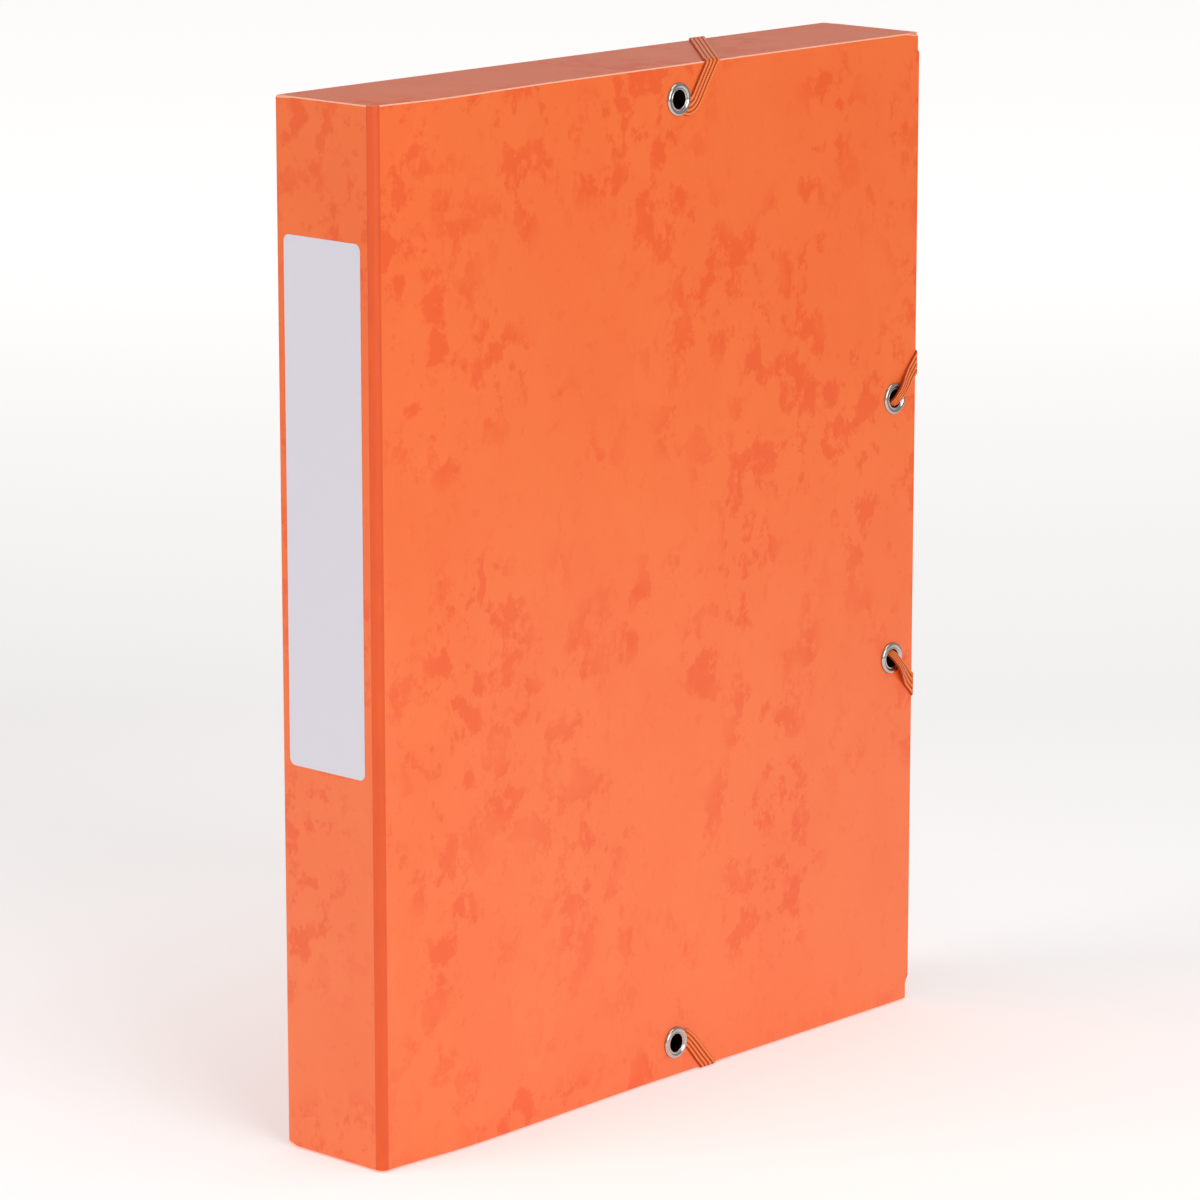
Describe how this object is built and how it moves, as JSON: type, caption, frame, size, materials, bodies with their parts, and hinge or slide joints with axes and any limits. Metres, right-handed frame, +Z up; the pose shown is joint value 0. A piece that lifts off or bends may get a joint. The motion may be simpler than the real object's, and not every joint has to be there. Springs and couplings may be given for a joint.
{
  "type": "box file",
  "caption": "Shallow card box for papers, with a hinged lid on its spine, a blank spine label and a corner elastic held in eyelets.",
  "frame": {"origin": "middle of the closed file's footprint, at its lowest point (the underside of the elastic)", "axes": "+Z up along the spine, +X from the spine to the fore-edge, -Y out of the lid's face"},
  "size_m": [0.255, 0.0448, 0.3316],
  "materials": {
    "glazed_card": "glazed, mottled orange",
    "label_paper": "matt white",
    "nickel": "nickel plated, bright",
    "elastic": "ribbed, covered elastic"
  },
  "bodies": {
    "tray": {"tray": "glazed_card", "spine_label": "label_paper"},
    "lid": {"lid": "glazed_card", "eyelet_top": "nickel", "eyelet_bottom": "nickel", "eyelet_fore_edge_upper": "nickel", "eyelet_fore_edge_lower": "nickel", "elastic_band": "elastic"}
  },
  "joints": [
    {"name": "lid_hinge", "type": "hinge", "parent": "tray", "child": "lid", "pos_m": [-0.1266, -0.0197, 0.1658], "axis": [0, 0, -1], "range_deg": [0, 180], "deforming": ["elastic_band"]}
  ]
}
